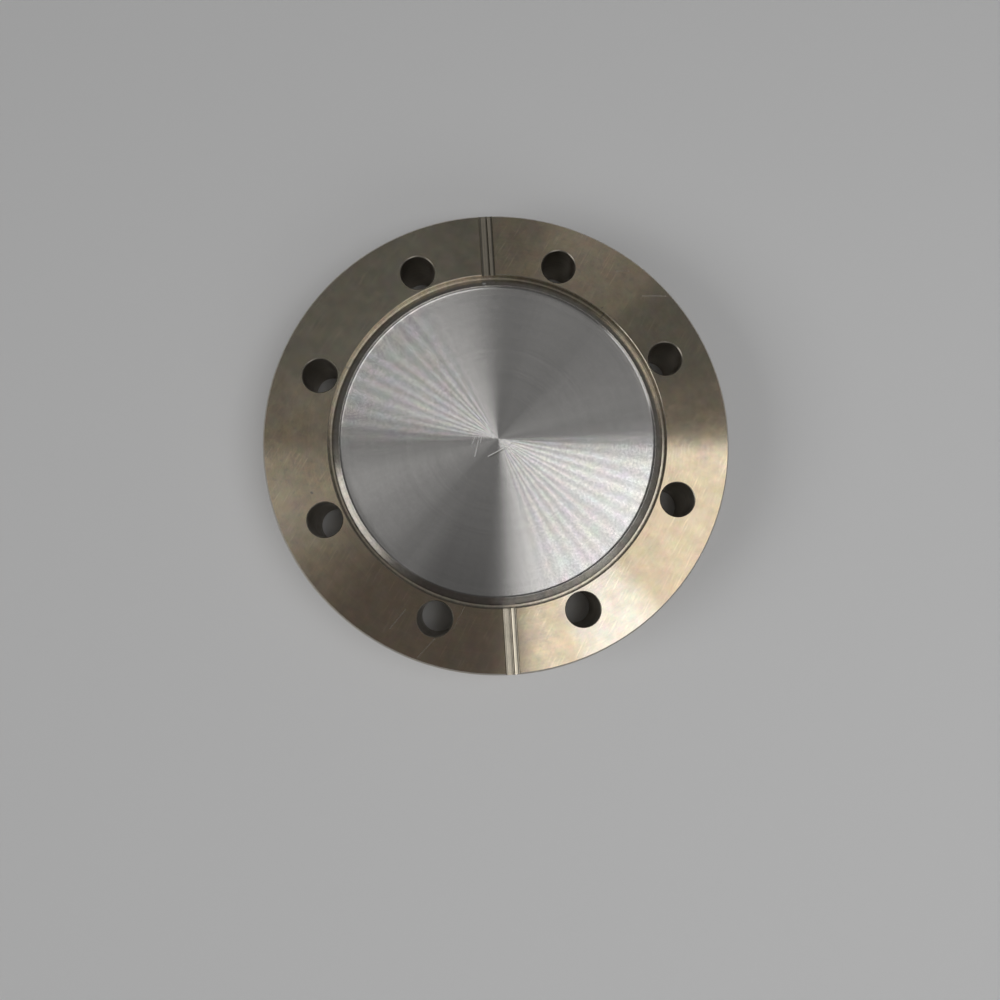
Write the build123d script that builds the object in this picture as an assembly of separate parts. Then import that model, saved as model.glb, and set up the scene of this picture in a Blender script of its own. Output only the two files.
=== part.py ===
from build123d import *
import os
from math import radians, tan

# Blank CF vacuum flange, the 63 mm size: one turned and drilled piece of stainless steel.
# Millimetres. The origin is the centre of the flat back face, +Z runs along the axis to the
# sealing side, and +Y runs along a leak-check groove.

# Turned blank
outside_diameter = 113.5
thickness = 17.5
rim_chamfer = 0.4

# Bolt circle
bolt_count = 8
bolt_circle_diameter = 92.1
bolt_hole_diameter = 8.4
hole_edge_break = 0.2

# Gasket recess; this depth and the next ones run down from the sealing-side face
recess_diameter = 82.5
recess_depth = 1.25
recess_edge_break = 0.12

# Knife edge: upright inside, and sloping down and outwards to the recess floor
knife_edge_diameter = 77.2
knife_edge_depth = 0.56
knife_slope_deg = 20.0
knife_tip_radius = 0.08

# Faced disc inside the knife edge
disc_depth = 1.5
disc_corner_radius = 0.4

# Leak-check grooves, from the recess wall out through the rim: a wide and a narrow channel
# side by side, with a low ridge left between them
leak_groove_width = 3.44
leak_groove_depth = 0.6
leak_ridge_x = 0.33
leak_ridge_cut_back = 0.08
leak_floor_radius = 0.4

seal_face_z = thickness
recess_floor_z = seal_face_z - recess_depth
knife_tip_z = seal_face_z - knife_edge_depth
disc_z = seal_face_z - disc_depth
FROM_BELOW = (Align.CENTER, Align.CENTER, Align.MIN)


def circle_at(part, radius, height):
    """The circular edge of that radius, centred on the axis at that height."""
    rings = part.edges().filter_by(GeomType.CIRCLE)
    return min(rings, key=lambda ring: abs(ring.radius - radius) + abs(ring.center().Z - height))


def turned_blank():
    """The round slab with both outer corners chamfered."""
    slab = Cylinder(outside_diameter / 2, thickness, align=FROM_BELOW)
    return chamfer(slab.edges().filter_by(GeomType.CIRCLE), rim_chamfer)


def bored(body, diameter, depth):
    """A round, flat-bottomed pocket turned into the sealing side."""
    pocket = Cylinder(diameter / 2, depth, align=FROM_BELOW)
    return body - Pos(0, 0, seal_face_z - depth) * pocket


def knife_edge():
    """The ring left standing in the recess: upright inside, sloping outside, its tip rounded."""
    tip_radius = knife_edge_diameter / 2
    height = knife_tip_z - recess_floor_z
    slope_run = height / tan(radians(knife_slope_deg))
    inner_foot = (tip_radius, 0, recess_floor_z)
    tip = (tip_radius, 0, knife_tip_z)
    outer_foot = (tip_radius + slope_run, 0, recess_floor_z)
    wedge = make_face(Polyline(inner_foot, tip, outer_foot, close=True))
    return revolve(fillet(wedge.vertices().sort_by(Axis.Z)[-1], knife_tip_radius), Axis.Z)


def gasket_seat(body):
    """Recess, knife edge and faced disc, with the recess mouth and the corners eased."""
    body = bored(body, recess_diameter, recess_depth) + knife_edge()
    body = bored(body, knife_edge_diameter, disc_depth)
    body = chamfer(circle_at(body, recess_diameter / 2, seal_face_z), recess_edge_break)
    return fillet(circle_at(body, knife_edge_diameter / 2, disc_z), disc_corner_radius)


def bolt_hole():
    """What one drill and its countersinks take out, standing on the back face."""
    hole_radius = bolt_hole_diameter / 2
    drill = Cylinder(hole_radius, thickness, align=FROM_BELOW)
    mouth = Cone(hole_radius, hole_radius + hole_edge_break, hole_edge_break, align=FROM_BELOW)
    seal_side = Pos(0, 0, seal_face_z - hole_edge_break) * mouth
    back_side = Pos(0, 0, hole_edge_break) * Rot(180, 0, 0) * mouth
    return drill + seal_side + back_side


def channel_section(near_x, far_x):
    """Section of one channel, its floor corners rounded, reaching up past the face."""
    middle = Pos((near_x + far_x) / 2, seal_face_z)
    blank = middle * Rectangle(far_x - near_x, 2 * leak_groove_depth)
    return fillet(blank.vertices().group_by(Axis.Y)[0], leak_floor_radius)


def leak_grooves():
    """What the cutter takes out along Y, on both sides of the recess and past the rim."""
    edge_x = leak_groove_width / 2
    wide = channel_section(-edge_x, leak_ridge_x + leak_ridge_cut_back)
    narrow = channel_section(leak_ridge_x - leak_ridge_cut_back, edge_x)
    # The knife edge stands higher than the groove floor, so the cut starts outside it.
    start = recess_diameter / 2 - leak_floor_radius
    length = outside_diameter / 2 - start + leak_groove_width
    run = extrude(Plane.XZ.offset(start) * (wide + narrow), length)
    return run + mirror(run, Plane.XZ)


def blank_flange():
    body = gasket_seat(turned_blank())
    # The grooves run along Y, and the first hole is half a pitch round from one of them.
    first_hole_angle = 90 + 180 / bolt_count
    body -= PolarLocations(bolt_circle_diameter / 2, bolt_count, first_hole_angle) * bolt_hole()
    return body - leak_grooves()


os.makedirs("parts", exist_ok=True)
flange = blank_flange()
export_step(flange, "parts/blank_flange.step")
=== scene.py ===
from math import cos, hypot, pi, radians, sin

import bmesh
import bpy
from mathutils import Matrix, Vector


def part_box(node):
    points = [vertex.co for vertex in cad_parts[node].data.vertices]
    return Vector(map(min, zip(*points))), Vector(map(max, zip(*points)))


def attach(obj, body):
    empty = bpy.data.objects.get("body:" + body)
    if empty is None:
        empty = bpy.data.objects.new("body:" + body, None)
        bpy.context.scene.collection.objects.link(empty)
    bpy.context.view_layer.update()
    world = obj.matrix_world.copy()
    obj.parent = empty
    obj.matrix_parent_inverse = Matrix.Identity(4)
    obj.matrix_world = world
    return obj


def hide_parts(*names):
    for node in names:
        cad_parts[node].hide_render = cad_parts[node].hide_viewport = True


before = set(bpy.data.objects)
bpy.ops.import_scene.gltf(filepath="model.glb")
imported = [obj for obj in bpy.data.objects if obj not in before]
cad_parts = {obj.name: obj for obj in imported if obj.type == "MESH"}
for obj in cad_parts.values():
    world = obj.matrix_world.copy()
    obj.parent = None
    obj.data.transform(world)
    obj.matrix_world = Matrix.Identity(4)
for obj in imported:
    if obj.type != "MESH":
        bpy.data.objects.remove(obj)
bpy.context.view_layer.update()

# A blank vacuum flange lying on a pale floor under soft lamps, its sealing side up. It keeps
# the
# CAD's shape; each machined surface gets a metal finish, with tints, marks of use and painted
# light and shade.

MM = 0.001
NODE = "blank_flange"

# Places on the flange; sizes in metres
_, box_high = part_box(NODE)
FACE_Z = box_high.z
RIM_RADIUS = box_high.x
RIM_CHAMFER = 0.4 * MM
KNIFE_RADIUS = 38.6 * MM
RECESS_RADIUS = 41.25 * MM
RECESS_MOUTH_RADIUS = 41.37 * MM
RECESS_FLOOR_Z = FACE_Z - 1.25 * MM
GROOVE_HALF_WIDTH = 1.72 * MM
GROOVE_FLOOR_Z = FACE_Z - 0.6 * MM

# How far the middle of a facet may lie off its surface
LOOSE = 0.02 * MM

# Vertices this close are one, and edges that turn less than this are smooth
WELD_DISTANCE = 0.001 * MM
SMOOTH_ANGLE = radians(15)


# ---------------------------------------------------------------- node wiring

# A noise texture mostly keeps between these two values
NOISE_LOW = 0.3
NOISE_HIGH = 0.7

# A scratch is full out to the first of these shares of its half width, and gone at the second
MARK_CORE = 0.4
MARK_EDGE = 1.6


class Finish:
    """One metal finish: a material with a single metal shader, and short ways to wire nodes."""

    def __init__(self, name):
        self.material = bpy.data.materials.new(name)
        self.material.use_nodes = True
        self.tree = self.material.node_tree
        self.metal = self.tree.nodes["Principled BSDF"]
        self.set("Metallic", 1.0)
        self.place = self.node("ShaderNodeTexCoord").outputs["Object"]
        parts = self.node("ShaderNodeSeparateXYZ", self.place).outputs
        self.x, self.y, self.z = parts["X"], parts["Y"], parts["Z"]

    def set(self, name, value):
        self.feed(self.metal.inputs[name], value)

    def feed(self, socket, value):
        """Link a socket, or set a number, vector or colour; None leaves it as it is."""
        if isinstance(value, bpy.types.NodeSocket):
            self.tree.links.new(value, socket)
        elif value is not None:
            socket.default_value = value[:3] if socket.type == "VECTOR" else value

    def node(self, kind, *values, **settings):
        """A new node with these settings, its sockets fed with the values in order."""
        made = self.tree.nodes.new(kind)
        for key, value in settings.items():
            setattr(made, key, value)
        for socket, value in zip(made.inputs, values):
            self.feed(socket, value)
        return made

    def math(self, operation, *values, clamp=False):
        made = self.node("ShaderNodeMath", *values, operation=operation, use_clamp=clamp)
        return made.outputs[0]

    def vector(self, operation, *values):
        made = self.node("ShaderNodeVectorMath", *values, operation=operation)
        scalar = operation in ("LENGTH", "DISTANCE", "DOT_PRODUCT")
        return made.outputs["Value" if scalar else "Vector"]

    def point(self, x=0.0, y=0.0, z=0.0):
        return self.node("ShaderNodeCombineXYZ", x, y, z).outputs[0]

    def scaled(self, vector, size):
        return self.vector("SCALE", vector, None, None, size)

    def noise_node(self, place, scale, detail):
        made = self.node("ShaderNodeTexNoise")
        self.feed(made.inputs["Vector"], place)
        made.inputs["Scale"].default_value = scale
        made.inputs["Detail"].default_value = detail
        return made

    def noise(self, place, scale=1.0, detail=2.0):
        return self.noise_node(place, scale, detail).outputs["Fac"]

    def line_noise(self, value, scale):
        """Noise that changes with one value only."""
        made = self.node("ShaderNodeTexNoise", noise_dimensions="1D")
        self.feed(made.inputs["W"], value)
        made.inputs["Scale"].default_value = scale
        return made.outputs["Fac"]

    def spread(self, value, low, high, to_low=0.0, to_high=1.0, smooth=False):
        """The value stretched from low..high to to_low..to_high, and held beyond them."""
        made = self.node("ShaderNodeMapRange")
        made.interpolation_type = "SMOOTHSTEP" if smooth else "LINEAR"
        for name, given in zip(("Value", "From Min", "From Max", "To Min", "To Max"),
                               (value, low, high, to_low, to_high)):
            self.feed(made.inputs[name], given)
        return made.outputs["Result"]

    def varied(self, noise, low, high):
        """The noise stretched to run from low to high."""
        return self.spread(noise, NOISE_LOW, NOISE_HIGH, low, high)

    def factor(self, swing, share):
        """A brightness factor: 1 where the share is 0, and 1 plus the swing where it is 1."""
        return self.math("MULTIPLY_ADD", swing, share, 1.0)

    def blend(self, share, first, second):
        """The first colour where the share is 0, and the second where it is 1."""
        made = self.node("ShaderNodeMix", data_type="RGBA")
        self.feed(made.inputs["Factor"], share)
        colours = [socket for socket in made.inputs if socket.type == "RGBA"]
        self.feed(colours[0], first)
        self.feed(colours[1], second)
        return next(socket for socket in made.outputs if socket.type == "RGBA")

    def brightened(self, colour, *factors):
        """The colour times each of the brightness factors."""
        for factor in factors:
            colour = self.scaled(colour, factor)
        return colour

    def tinted(self, colour, place, scale, strength):
        """The colour with faint patches of other tints over it."""
        tints = self.noise_node(place, scale, detail=1.0).outputs["Color"]
        swing = self.vector("SUBTRACT", tints, (0.5, 0.5, 0.5))
        patches = self.vector("ADD", self.scaled(swing, strength), (1.0, 1.0, 1.0))
        return self.vector("MULTIPLY", colour, patches)


class TurnedFinish(Finish):
    """A finish cut on a lathe: its shine spreads across the tool marks, along the radius."""

    def __init__(self, name, anisotropy=1.0):
        super().__init__(name)
        self.flat = self.point(self.x, self.y)
        self.radius = self.vector("LENGTH", self.flat)
        self.outward = self.vector("NORMALIZE", self.flat)
        self.set("Anisotropic", anisotropy)
        self.set("Tangent", self.outward)

    def polar(self, turns, rings):
        """A place for noise that joins up round the axis: how fine it is round and outwards."""
        out = self.point(z=self.math("MULTIPLY", self.radius, rings / MM))
        return self.vector("ADD", self.scaled(self.outward, turns), out)

    def facing(self, degrees, begins, full):
        """How far a point lies towards that side; begins and full are cosines of the angle."""
        side = (cos(radians(degrees)), sin(radians(degrees)), 0.0)
        towards = self.vector("DOT_PRODUCT", self.outward, side)
        return self.spread(towards, begins, full, smooth=True)

    def bands(self, stops):
        """Colours from the middle outwards; a stop is a radius in millimetres and a colour."""
        first, last = stops[0][0], stops[-1][0]
        share = self.spread(self.radius, first * MM, last * MM)
        made = self.node("ShaderNodeValToRGB", share)
        steps = made.color_ramp.elements
        while len(steps) < len(stops):
            steps.new(1.0)
        for step, (radius, colour) in zip(steps, stops):
            step.position = (radius - first) / (last - first)
            step.color = colour
        return made.outputs["Color"]

    def mark(self, start, end, half_width):
        """1 on the line of one scratch and 0 beside it."""
        start = Vector((*start, 0)) * MM
        run = Vector((*end, 0)) * MM - start
        offset = self.vector("SUBTRACT", self.flat, tuple(start))
        share = self.math("DIVIDE", self.vector("DOT_PRODUCT", offset, tuple(run)),
                          run.length_squared, clamp=True)
        away = self.vector("DISTANCE", offset, self.scaled(tuple(run), share))
        return self.spread(away, MARK_CORE * half_width * MM, MARK_EDGE * half_width * MM,
                           1.0, 0.0, smooth=True)

    def marks(self, listed):
        """All the scratches of a list, as one mask, broken up a little along their length."""
        total = 0.0
        for start, end, half_width in listed:
            total = self.math("MAXIMUM", total, self.mark(start, end, half_width))
        broken = self.spread(self.noise(self.place, 0.9 / MM), 0.3, 0.5, 0.55, 1.0)
        return self.math("MULTIPLY", total, broken)


def grey(level):
    return (level, level, level, 1.0)


# ---------------------------------------------------------------- colours and marks

# Steel as the tools leave it
BRIGHT_STEEL = (0.77, 0.752, 0.73, 1.0)
PLAIN_STEEL = (0.62, 0.60, 0.57, 1.0)
LEDGE = (0.70, 0.63, 0.51, 1.0)
MILLED = (0.55, 0.50, 0.40, 1.0)
DRILLED = (0.40, 0.365, 0.31, 1.0)
GREYED = (0.36, 0.335, 0.295, 1.0)

# Steel tinted by heat; some of these tints also paint light and shade on fixed sides
STRAW = (0.565, 0.48, 0.365, 1.0)
GOLD = (0.74, 0.61, 0.41, 1.0)
PALE = (0.70, 0.655, 0.57, 1.0)
BUFF = (0.45, 0.405, 0.33, 1.0)
TAN = (0.44, 0.36, 0.25, 1.0)
OLIVE = (0.42, 0.385, 0.32, 1.0)
# A darker tint that also paints shade on the ring
SMOKED_AND_SHADED = (0.36, 0.335, 0.265, 1.0)
BROWN = (0.40, 0.31, 0.23, 1.0)
# Painted shade, laid on the recess on one side
SHADE_DARK = (0.13, 0.10, 0.085, 1.0)

# Marks of use, and a painted shadow
SCRATCHED = (0.95, 0.94, 0.92, 1.0)
# Dark nicks, and the colour of a painted shadow beside a scratch
DULLED_AND_SHADOW = (0.30, 0.28, 0.25, 1.0)

# Each mark runs from one point to another on the flange, with its half width; millimetres
DISC_SCRATCHES = (
    ((-2.79, -4.25), (1.81, -2.14), 0.11),
    ((-4.71, 0.60), (-6.03, -4.07), 0.06),
    ((-5.64, 0.65), (-6.56, -0.97), 0.05),
    ((-4.12, 0.62), (-4.49, -0.73), 0.05),
)
# A painted shadow beside the long scratch on the disc
DISC_PAINTED_SHADOWS = (
    ((-2.5, -4.42), (1.3, -2.70), 0.10),
)
RING_SCRATCHES = (
    ((-24.36, -39.88), (-28.25, -44.12), 0.07),
    ((-17.98, -47.21), (-22.11, -51.16), 0.08),
    ((-10.60, -40.34), (-13.40, -45.10), 0.04),
    ((38.11, 33.97), (44.17, 33.68), 0.06),
    ((32.07, 40.77), (35.36, 40.62), 0.06),
)
RING_DARK_MARKS = (
    ((-45.5, -10.9), (-45.3, -11.1), 0.22),
    ((27.7, 31.3), (27.9, 31.5), 0.12),
)
RECESS_DARK_MARKS = (
    ((27.6, 29.4), (28.4, 30.3), 0.16),
    ((-36.2, 19.7), (-35.2, 19.3), 0.16),
)
RECESS_BRIGHT_MARKS = (
    ((-1.4, 39.3), (-1.0, 39.35), 0.25),
)

# Painted shade along the corners and the ridge of the grooves, across them; millimetres
GROOVE_CREASES = (-1.35, 0.3, 1.5)

# Sides of the flange are given in degrees round from +X. The two numbers that follow are
# cosines of the angle off that side: where a tint, painted light or painted shade fades in, and
# where it is full.
# Painted light on the disc: its streaks, flecks and pearly tints are brightest on these sides
DISC_PAINTED_LIGHT_SIDES = (
    (147, 0.78, 0.93),
    (-38, 0.70, 0.90),
)

# Heat tints of the ring, set on fixed sides where they also paint its light and shade: side,
# fades in, full, share and colour
RING_TINTS_AND_PAINTED_LIGHT = (
    (125, 0.70, 0.90, 0.85, SMOKED_AND_SHADED),
    (28, 0.95, 0.99, 0.6, SMOKED_AND_SHADED),
    (243, 0.80, 0.96, 0.8, BROWN),
    (318, 0.76, 0.93, 0.85, TAN),
    (298, 0.97, 0.998, 0.7, PALE),
)
# The side where shade is painted on the disc and the recess
PAINTED_SHADE_SIDE = 252

# Streaks round the whole disc, a whole number so that they join up, and how far they wander
FAN_COUNT = 62
FAN_DRIFT = 9.0

# From the knife edge, with a highlight painted on its tip, out to the mouth of the recess;
# millimetres
RECESS_BANDS = (
    (38.5, GREYED), (38.65, PLAIN_STEEL), (38.8, GREYED),
    (40.36, GREYED), (40.6, BUFF), (41.5, BUFF),
)


# ---------------------------------------------------------------- finishes

def faced_disc():
    """The turned disc: fine rings and streaks out from the middle, with painted light and
    shade.
    """
    finish = TurnedFinish("faced_disc")
    painted_light = finish.math("MAXIMUM", *(finish.facing(*side) for side in DISC_PAINTED_LIGHT_SIDES))

    # Narrow streaks, strongest near the middle, shown only where light is painted
    bearing = finish.math("ARCTAN2", finish.y, finish.x)
    wander = finish.noise(finish.polar(4.0, 0.02), detail=1.0)
    drift = finish.math("MULTIPLY", wander, FAN_DRIFT)
    wave = finish.math("SINE", finish.math("MULTIPLY_ADD", bearing, FAN_COUNT, drift))
    strength = finish.spread(finish.radius, 4 * MM, 36 * MM, 0.17, 0.08)
    painted_streaks = finish.factor(wave, finish.math("MULTIPLY", painted_light, strength))

    rays = finish.varied(finish.noise(finish.polar(55.0, 0.05)), 0.98, 1.02)
    rings = finish.varied(finish.line_noise(finish.radius, 3.1 / MM), 0.965, 1.03)
    wide_rings = finish.varied(finish.line_noise(finish.radius, 0.35 / MM), 0.975, 1.02)
    sparkle = finish.varied(finish.noise(finish.place, 1.7 / MM, detail=1.0), -0.09, 0.09)
    # Random flecks, made stronger as painted glints on the lit sides
    grain_and_painted_glint = finish.factor(sparkle, finish.math("ADD", painted_light, 0.3))
    # Painted shade round the edge of the disc, at the foot of the knife edge
    painted_foot_shade = finish.spread(finish.radius, 38.3 * MM, 38.42 * MM, 1.0, 0.6)
    # Painted shade on one side of the disc, growing out from the middle
    side_shade_depth = finish.spread(finish.radius, 8 * MM, 34 * MM, 0.0, -0.35)
    painted_side_shade = finish.factor(side_shade_depth, finish.facing(PAINTED_SHADE_SIDE, 0.94, 0.995))

    # Pearly tints, shown as a painted sheen on the lit sides
    painted_sheen = finish.math("MULTIPLY", painted_light, 0.18)
    colour = finish.tinted(BRIGHT_STEEL, finish.polar(11.0, 0.22), 1.0, painted_sheen)
    colour = finish.brightened(colour, painted_streaks, rays, rings, wide_rings, grain_and_painted_glint, painted_foot_shade, painted_side_shade)
    # Painted shadow beside the long scratch
    colour = finish.blend(finish.marks(DISC_PAINTED_SHADOWS), colour, DULLED_AND_SHADOW)
    scratched = finish.marks(DISC_SCRATCHES)
    grain = finish.varied(finish.noise(finish.polar(20.0, 0.9)), 0.235, 0.265)
    finish.set("Base Color", finish.blend(scratched, colour, SCRATCHED))
    finish.set("Metallic", finish.factor(-0.85, scratched))
    finish.set("Roughness", finish.math("MULTIPLY_ADD", scratched, 0.35, grain))
    return finish.material


def ground_ring():
    """The bolted ring: faint fine rings under straw, olive and brown heat tints, which also
    paint light and shade on fixed sides.
    """
    finish = TurnedFinish("ground_ring")
    clouds = finish.varied(finish.noise(finish.place, 0.11 / MM, detail=3.0), 0.0, 0.55)
    colour = finish.blend(clouds, STRAW, GOLD)
    grit = finish.noise(finish.place, 0.9 / MM, detail=3.0)
    specks = finish.spread(grit, 0.55, 0.75, 0.0, 0.45)
    colour = finish.blend(specks, colour, OLIVE)
    # Heat tints on fixed sides, which also paint the ring's light and shade there
    for degrees, begins, full, share, tint in RING_TINTS_AND_PAINTED_LIGHT:
        tint_and_painted_light = finish.math("MULTIPLY", finish.facing(degrees, begins, full), share)
        colour = finish.blend(tint_and_painted_light, colour, tint)
    colour = finish.tinted(colour, finish.place, 0.32 / MM, 0.17)
    colour = finish.tinted(colour, finish.place, 1.4 / MM, 0.12)

    rings = finish.varied(finish.line_noise(finish.radius, 4.0 / MM), 0.96, 1.04)
    mottle = finish.varied(finish.noise(finish.place, 0.42 / MM, detail=4.0), 0.92, 1.07)
    # Hair lines of one slant: fine across it and long along it
    across = finish.vector("DOT_PRODUCT", finish.place, (2.4 / MM, -1.5 / MM, 0.0))
    along = finish.vector("DOT_PRODUCT", finish.place, (0.065 / MM, 0.11 / MM, 0.0))
    hairs = finish.spread(finish.noise(finish.point(across, along)), 0.60, 0.72, 1.0, 1.22)

    colour = finish.brightened(colour, rings, mottle, hairs)
    colour = finish.blend(finish.marks(RING_DARK_MARKS), colour, DULLED_AND_SHADOW)
    scratched = finish.marks(RING_SCRATCHES)
    grain = finish.varied(finish.noise(finish.place, 0.3 / MM, detail=3.0), 0.18, 0.205)
    faint = finish.math("MULTIPLY", scratched, 0.4)
    finish.set("Base Color", finish.blend(faint, colour, SCRATCHED))
    finish.set("Roughness", finish.math("MULTIPLY_ADD", scratched, 0.3, grain))
    return finish.material


def recess_steel(finish, colour, darkest_ring, *painted_shades):
    """The colour under the faint tints, turned rings and nicks of the recess, darkened by any
    painted shade given.
    """
    colour = finish.tinted(colour, finish.polar(26.0, 0.4), 1.0, 0.16)
    mottle = finish.varied(finish.noise(finish.polar(60.0, 1.4), detail=3.0), 0.86, 1.1)
    rings = finish.varied(finish.line_noise(finish.radius, 5.0 / MM), darkest_ring, 1.06)
    colour = finish.brightened(colour, mottle, rings, *painted_shades)
    colour = finish.blend(finish.marks(RECESS_DARK_MARKS), colour, DULLED_AND_SHADOW)
    return finish.blend(finish.marks(RECESS_BRIGHT_MARKS), colour, SCRATCHED)


def turned_recess():
    """Knife edge and its slope, and the recess wall and mouth: painted shade on one side, a
    painted highlight on the tip.
    """
    finish = TurnedFinish("turned_recess", anisotropy=0.6)
    # Painted shade on one side of the recess
    painted_shade = finish.math("MULTIPLY", finish.facing(PAINTED_SHADE_SIDE, 0.93, 0.985), 0.7)
    colour = finish.blend(painted_shade, finish.bands(RECESS_BANDS), SHADE_DARK)
    finish.set("Base Color", recess_steel(finish, colour, 0.93))
    finish.set("Roughness", finish.varied(finish.noise(finish.place, 0.5 / MM), 0.20, 0.26))
    return finish.material


def turned_ledge():
    """The flat ledge between the knife edge's slope and the recess wall, with painted shade at
    the wall.
    """
    finish = TurnedFinish("turned_ledge")
    # Painted shade in the corner at the recess wall
    painted_corner_shade = finish.spread(finish.radius, 40.85 * MM, 40.98 * MM, 1.0, 0.55)
    finish.set("Base Color", recess_steel(finish, LEDGE, 0.9, painted_corner_shade))
    finish.set("Roughness", finish.varied(finish.noise(finish.place, 0.5 / MM), 0.24, 0.27))
    return finish.material


def drilled_wall():
    """Drilled bolt holes: dark walls with feed marks round them."""
    finish = Finish("drilled_wall")
    feed = finish.varied(finish.line_noise(finish.z, 2.4 / MM), 0.85, 1.12)
    stain = finish.varied(finish.noise(finish.place, 0.18 / MM, detail=3.0), 0.85, 1.12)
    finish.set("Base Color", finish.brightened(DRILLED, feed, stain))
    finish.set("Roughness", finish.varied(finish.noise(finish.place, 0.35 / MM), 0.28, 0.42))
    return finish.material


def milled_groove():
    """Milled channels, with the cutter's marks along them and painted shade in their corners.
    """
    finish = Finish("milled_groove")
    lengthwise = finish.vector("MULTIPLY", finish.place, (5.2 / MM, 0.014 / MM, 5.2 / MM))
    lines = finish.varied(finish.noise(lengthwise, detail=1.0), 0.94, 1.05)
    clouds = finish.spread(finish.noise(finish.place, 0.24 / MM), 0.35, 0.65, 0.0, 0.6)
    colour = finish.brightened(finish.blend(clouds, LEDGE, MILLED), lines)
    # Painted shade along each corner and the ridge
    for middle in GROOVE_CREASES:
        away = finish.math("ABSOLUTE", finish.math("SUBTRACT", finish.x, middle * MM))
        painted_crease_shade = finish.spread(away, 0.12 * MM, 0.38 * MM, 0.4, 1.0, smooth=True)
        colour = finish.brightened(colour, painted_crease_shade)
    finish.set("Base Color", colour)
    finish.set("Roughness", finish.varied(finish.noise(lengthwise, 0.6), 0.19, 0.23))
    return finish.material


def turned_rim():
    """The turned outside: feed lines round it and a little of the ring's tint."""
    finish = Finish("turned_rim")
    feed = finish.varied(finish.line_noise(finish.z, 3.2 / MM), 0.9, 1.06)
    clouds = finish.varied(finish.noise(finish.place, 0.09 / MM, detail=3.0), 0.0, 0.6)
    colour = finish.blend(clouds, PLAIN_STEEL, STRAW)
    finish.set("Base Color", finish.brightened(colour, feed))
    finish.set("Roughness", finish.varied(finish.line_noise(finish.z, 1.7 / MM), 0.26, 0.36))
    return finish.material


def faced_back():
    """The plain turned back: feed rings and faint clouds."""
    finish = TurnedFinish("faced_back", anisotropy=0.9)
    rings = finish.varied(finish.line_noise(finish.radius, 2.2 / MM), 0.94, 1.05)
    rays = finish.varied(finish.noise(finish.polar(30.0, 0.05)), 0.95, 1.05)
    clouds = finish.varied(finish.noise(finish.place, 0.07 / MM, detail=3.0), 0.0, 0.3)
    colour = finish.blend(clouds, PLAIN_STEEL, STRAW)
    finish.set("Base Color", finish.brightened(colour, rings, rays))
    finish.set("Roughness", finish.varied(finish.noise(finish.place, 0.2 / MM), 0.25, 0.3))
    return finish.material


# ---------------------------------------------------------------- the flange

FINISHES = {
    "disc": faced_disc,
    "ring": ground_ring,
    "recess": turned_recess,
    "ledge": turned_ledge,
    "hole": drilled_wall,
    "groove": milled_groove,
    "rim": turned_rim,
    "back": faced_back,
}


def surface_of(face):
    """Which finish a face of the flange wears, from where its middle lies."""
    middle = face.calc_center_median()
    radius = hypot(middle.x, middle.y)
    if middle.z < LOOSE:
        return "back"
    if middle.z > FACE_Z - LOOSE:
        return "ring"
    if middle.z > FACE_Z / 2 and radius < RECESS_RADIUS + LOOSE:
        if radius < KNIFE_RADIUS - LOOSE:
            return "disc"
        return "ledge" if abs(middle.z - RECESS_FLOOR_Z) < LOOSE else "recess"
    if middle.z > GROOVE_FLOOR_Z - LOOSE and radius < RECESS_MOUTH_RADIUS:
        return "recess"
    if middle.z > GROOVE_FLOOR_Z - LOOSE and abs(middle.x) < GROOVE_HALF_WIDTH + LOOSE:
        return "groove"
    if radius > RIM_RADIUS - RIM_CHAMFER:
        return "rim"
    return "hole"


def dressed_flange():
    """The flange again, its facets joined, with a finish for each machined surface."""
    names = list(FINISHES)
    shape = bmesh.new()
    shape.from_mesh(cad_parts[NODE].data)
    bmesh.ops.remove_doubles(shape, verts=shape.verts, dist=WELD_DISTANCE)
    for face in shape.faces:
        face.material_index = names.index(surface_of(face))
        face.smooth = True
    mesh = bpy.data.meshes.new("flange")
    shape.to_mesh(mesh)
    shape.free()
    # The normals kept with the old facets would hide the smoothing.
    mesh.attributes.remove(mesh.attributes["custom_normal"])
    for make in FINISHES.values():
        mesh.materials.append(make())
    mesh.set_sharp_from_angle(angle=SMOOTH_ANGLE)
    piece = bpy.data.objects.new("flange", mesh)
    bpy.context.collection.objects.link(piece)
    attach(piece, "root")
    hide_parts(NODE)


# ---------------------------------------------------------------- studio

# The camera: where it stands, what it looks at, how far it leans sideways, and its lens
EYE = Vector((-7.9, -33.3, 186.95)) * MM
AIM = Vector((-0.6, -15.3, 17.5)) * MM
LEAN = radians(3.5)
LENS_MM = 25.5
SENSOR_MM = 36

FLOOR_SIZE = 3.0
FLOOR_DROP = 0.02 * MM
FLOOR_GREY = 0.8
FLOOR_ROUGHNESS = 0.8
ROOM_LEVEL = 0.15

# Lamps that hang flat at one height over the sealing side. The middle of the disc mirrors one
# point at that height to the camera. Each lamp's middle lies so far to the right of that point
# and so far nearer; then come its width, depth, turn in degrees and brightness. The three key
# lamps make one large lamp with a stepped corner, which ends the disc's bright quarter.
LAMP_RISE = 0.6
HANGING_LAMPS = (
    ("key", 0.28, 0.23, 0.36, 0.46, -5, 1.85),
    ("key_side", 0.067, 0.28, 0.066, 0.36, -5, 1.45),
    ("key_tip", 0.07, 0.034, 0.06, 0.03, -5, 1.6),
    ("left_strip", -0.4, 0.064, 0.35, 0.14, 0, 0.36),
    ("right_strip", 0.22, -0.36, 0.24, 0.24, 0, 0.3),
)

# Lamps that stand well off and face the flange: middle, width, height, turn and brightness
STANDING_LAMPS = (
    ("right_fill", (0.6, -1.5, 1.0), 1.2, 0.8, 0, 0.8),
    ("left_fill", (-1.46, -0.4, 1.0), 1.0, 0.8, 105, 2.8),
)


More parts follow.
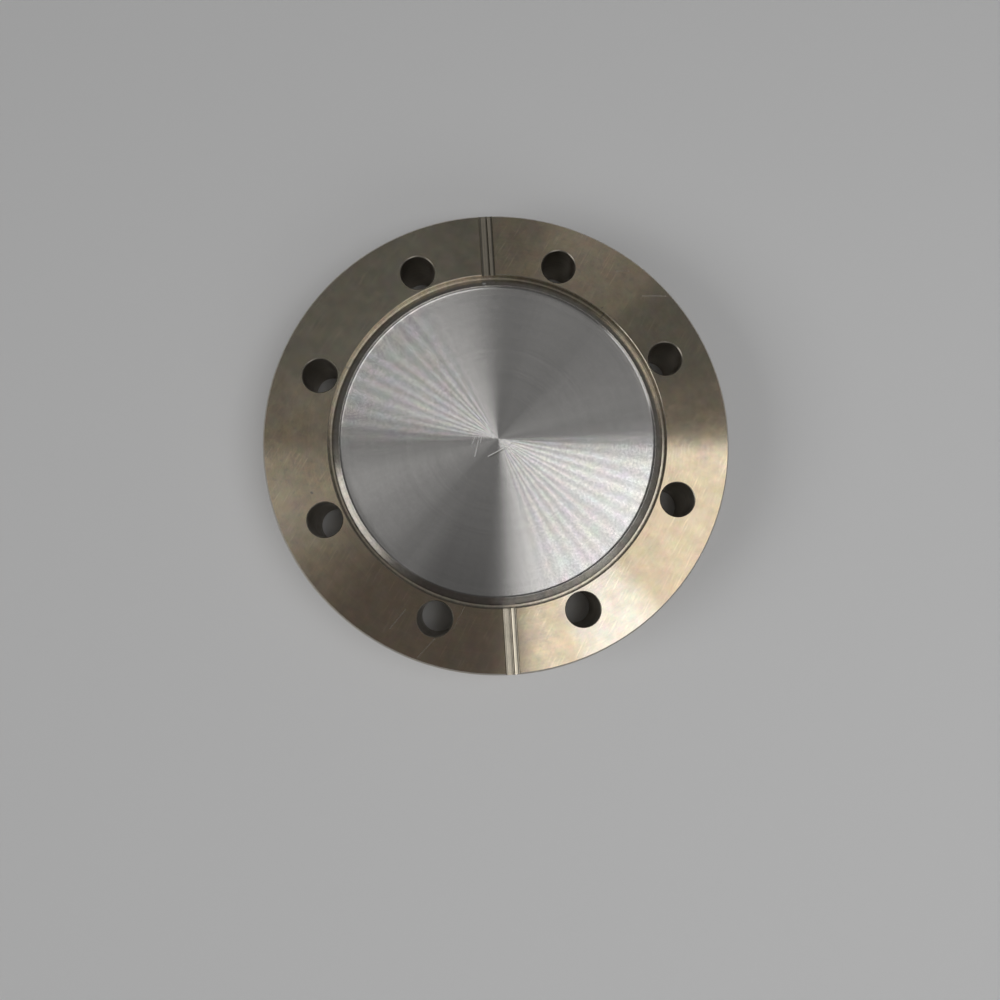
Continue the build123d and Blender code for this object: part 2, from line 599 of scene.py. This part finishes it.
def view_camera():
    """Nearly overhead, leaning a little to one side."""
    looking = (AIM - EYE).normalized()
    upward = Vector((sin(LEAN), cos(LEAN), 0))
    upward = (upward - looking * upward.dot(looking)).normalized()
    turned = Matrix((looking.cross(upward), upward, -looking)).transposed()
    data = bpy.data.cameras.new("camera")
    data.sensor_width = SENSOR_MM
    data.lens = LENS_MM
    camera = bpy.data.objects.new("camera", data)
    camera.matrix_world = Matrix.Translation(EYE) @ turned.to_4x4()
    bpy.context.collection.objects.link(camera)
    bpy.context.scene.camera = camera


def pale_floor():
    """A plain matt floor, set a hair below the flange's back."""
    bpy.ops.mesh.primitive_plane_add(size=FLOOR_SIZE, location=(0, 0, -FLOOR_DROP))
    floor = bpy.context.object
    floor.name = "floor"
    material = bpy.data.materials.new("pale_floor")
    material.use_nodes = True
    shader = material.node_tree.nodes["Principled BSDF"]
    shader.inputs["Base Color"].default_value = grey(FLOOR_GREY)
    shader.inputs["Roughness"].default_value = FLOOR_ROUGHNESS
    floor.data.materials.append(material)


def plain_room():
    """An even grey light from all round."""
    world = bpy.data.worlds.new("room")
    world.use_nodes = True
    background = world.node_tree.nodes["Background"]
    background.inputs["Color"].default_value = grey(1.0)
    background.inputs["Strength"].default_value = ROOM_LEVEL
    bpy.context.scene.world = world


def soft_box(name, centre, aim, width, height, turn, level):
    """A flat rectangular lamp facing aim; level is the brightness of its face."""
    data = bpy.data.lights.new(name, "AREA")
    data.shape = "RECTANGLE"
    data.size, data.size_y = width, height
    data.energy = level * width * height * pi
    lamp = bpy.data.objects.new(name, data)
    backward = (centre - aim).normalized()
    side = Vector((cos(turn), sin(turn), 0))
    side = (side - backward * side.dot(backward)).normalized()
    turned = Matrix((side, backward.cross(side), backward)).transposed()
    lamp.matrix_world = Matrix.Translation(centre) @ turned.to_4x4()
    bpy.context.collection.objects.link(lamp)


def studio_lamps():
    """Soft boxes that hang over the sealing side, and two that light it from further round."""
    down = Vector((0, 0, -1))
    mirror = Vector((-EYE.x, -EYE.y, 0)) * (LAMP_RISE / (EYE.z - FACE_Z))
    mirror.z = FACE_Z + LAMP_RISE
    for name, right, nearer, width, depth, degrees, level in HANGING_LAMPS:
        turn = radians(degrees)
        centre = mirror + Vector((cos(turn), sin(turn), 0)) * right
        centre += Vector((sin(turn), -cos(turn), 0)) * nearer
        soft_box(name, centre, centre + down, width, depth, turn, level)
    for name, middle, width, height, degrees, level in STANDING_LAMPS:
        soft_box(name, Vector(middle), Vector(), width, height, radians(degrees), level)


dressed_flange()
view_camera()
pale_floor()
plain_room()
studio_lamps()
bpy.context.scene.view_settings.view_transform = "Standard"
